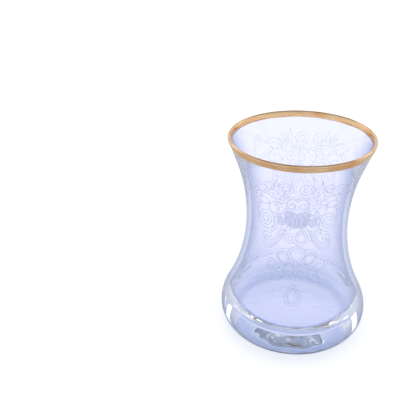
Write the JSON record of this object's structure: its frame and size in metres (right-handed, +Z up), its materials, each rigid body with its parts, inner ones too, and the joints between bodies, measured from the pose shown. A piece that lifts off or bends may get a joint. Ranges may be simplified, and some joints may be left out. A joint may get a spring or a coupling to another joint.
{
  "type": "tea glass",
  "caption": "Waisted tea glass with a flared mouth, a gilded lip, fine etched scrollwork, a round bulb and a thick solid base.",
  "frame": {"origin": "centre of the foot, at the level of the flat ring that the glass stands on", "axes": "+Z up along the glass's axis, from the foot to the mouth; -Y is the middle of the front motif"},
  "size_m": [0.0648, 0.0648, 0.0926],
  "materials": {
    "clear_glass": "clear, fire-polished soda-lime glass with a faint blue-lilac tint",
    "gilding": "bright fired gold, worn to a pale champagne colour",
    "etched_line": "fine matt etched or frosted lines in the surface"
  },
  "bodies": {
    "root": {"glass_body": "clear_glass", "gilt_rim": "gilding"}
  },
  "joints": []
}
